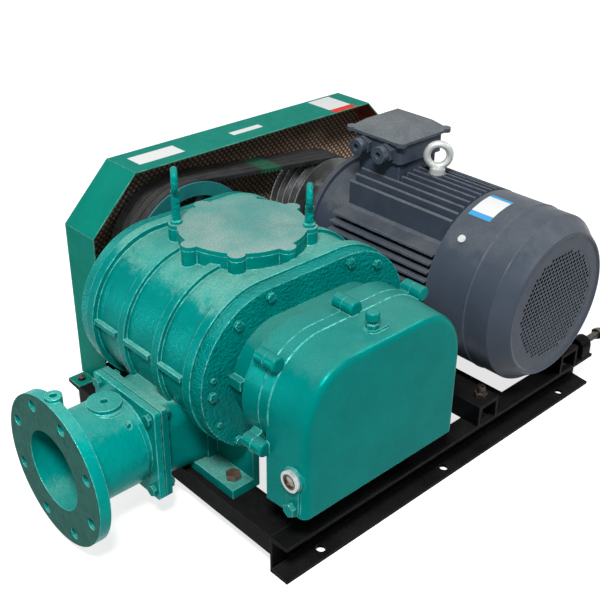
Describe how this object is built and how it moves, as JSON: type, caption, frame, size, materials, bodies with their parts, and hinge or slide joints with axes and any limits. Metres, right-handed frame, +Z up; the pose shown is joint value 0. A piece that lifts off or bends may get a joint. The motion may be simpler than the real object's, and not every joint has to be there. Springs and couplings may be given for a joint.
{
  "type": "rotary lobe blower set",
  "caption": "Belt-driven rotary lobe blower on a channel base with its enclosed motor, timing gear case, flap-valve outlet and open-mesh belt guard.",
  "frame": {"origin": "on the floor, at the centre of the four corner foundation-bolt holes of the channel base", "axes": "+X from the blower towards the motor, +Y from the timing gear case towards the belt drive, +Z up"},
  "size_m": [1.1925, 0.726, 0.603],
  "materials": {
    "teal_enamel": "glossy teal machine enamel over cast iron, dusty on top",
    "black_enamel": "satin black enamel on rolled steel",
    "motor_enamel": "satin blue-grey enamel on cast iron",
    "blackened_steel": "blackened, slightly oily",
    "worn_bolt_steel": "bare, lightly rusted",
    "bare_iron": "machined grey iron",
    "machined_steel": "turned and ground",
    "galvanised": "bright zinc plating",
    "sight_lens": "clear with oil behind",
    "belt_rubber": "matt black rubber with a fabric cover",
    "seal_rubber": "smooth brown rubber",
    "gasket_sheet": "pressed fibre sheet",
    "copper_wire": "varnished copper winding",
    "fan_plastic": "moulded, dark red-brown",
    "gland_plastic": "moulded, dark grey",
    "mesh_steel": "expanded steel mesh, thin worn paint"
  },
  "bodies": {
    "base_frame": {"adjusting_brackets": "black_enamel", "belt_guard": "teal_enamel", "blower_foot_bolts": "worn_bolt_steel", "breather_plug": "teal_enamel", "case_screws": "teal_enamel", "casing": "teal_enamel", "cross_members": "black_enamel", "drain_plug": "teal_enamel", "drive_end_cover": "teal_enamel", "drive_end_plate": "teal_enamel", "duct_bolts": "teal_enamel", "duct_gasket": "gasket_sheet", "end_plate_bolts": "teal_enamel", "flap_pin": "machined_steel", "front_rail": "black_enamel", "gear_case": "teal_enamel", "gear_cover": "teal_enamel", "gear_end_plate": "teal_enamel", "guard_bolts": "blackened_steel", "guard_mesh": "mesh_steel", "inlet_cover": "teal_enamel", "lifting_eyes": "teal_enamel", "outlet_piece": "teal_enamel", "rear_rail": "black_enamel", "rotor_bearings": "machined_steel", "shaft_seal": "seal_rubber", "sight_glass_lens": "sight_lens", "sight_glass_ring": "galvanised", "v_belts": "belt_rubber"},
    "drive_train": {"drive_shaft": "machined_steel", "drive_rotor": "bare_iron", "drive_timing_gear": "machined_steel", "drive_gear_nut": "machined_steel", "driven_pulley": "teal_enamel"},
    "idler_train": {"idler_shaft": "machined_steel", "idler_rotor": "bare_iron", "idler_timing_gear": "machined_steel", "idler_gear_nut": "machined_steel", "oil_slinger": "machined_steel"},
    "motor_carriage": {"motor_beams": "black_enamel", "clamp_bolts": "blackened_steel", "adjusting_screws": "blackened_steel", "motor_foot_bolts": "blackened_steel", "motor_frame": "motor_enamel", "drive_endshield": "motor_enamel", "fan_endshield": "motor_enamel", "fan_cowl": "motor_enamel", "cowl_screws": "blackened_steel", "stator_core": "machined_steel", "stator_windings": "copper_wire", "motor_bearings": "machined_steel", "terminal_box": "motor_enamel", "terminal_lid": "motor_enamel", "cable_glands": "gland_plastic", "motor_eye": "galvanised"},
    "motor_spindle": {"motor_shaft": "machined_steel", "motor_rotor_core": "machined_steel", "motor_fan": "fan_plastic", "motor_pulley": "bare_iron"},
    "outlet_flap": {"valve_flap": "bare_iron"}
  },
  "joints": [
    {"name": "drive_spin", "type": "hinge", "parent": "base_frame", "child": "drive_train", "pos_m": [-0.185, 0, 0.318], "axis": [0, 1, 0], "continuous": true},
    {"name": "idler_spin", "type": "hinge", "parent": "base_frame", "child": "idler_train", "pos_m": [-0.341, 0, 0.318], "axis": [0, 1, 0], "continuous": true},
    {"name": "motor_slide", "type": "slide", "parent": "base_frame", "child": "motor_carriage", "axis": [1, 0, 0], "range_m": [-0.01, 0.02], "deforming": ["v_belts"]},
    {"name": "motor_spin", "type": "hinge", "parent": "motor_carriage", "child": "motor_spindle", "pos_m": [0.213, 0, 0.307], "axis": [0, 1, 0], "continuous": true},
    {"name": "flap_swing", "type": "hinge", "parent": "base_frame", "child": "outlet_flap", "pos_m": [-0.571, 0, 0.231], "axis": [0, 1, 0], "range_deg": [0, 50]}
  ],
  "couplings": [
    {"joint": "idler_spin", "follows": "drive_spin", "ratio": -1},
    {"joint": "motor_spin", "follows": "drive_spin", "ratio": 1.3393}
  ]
}
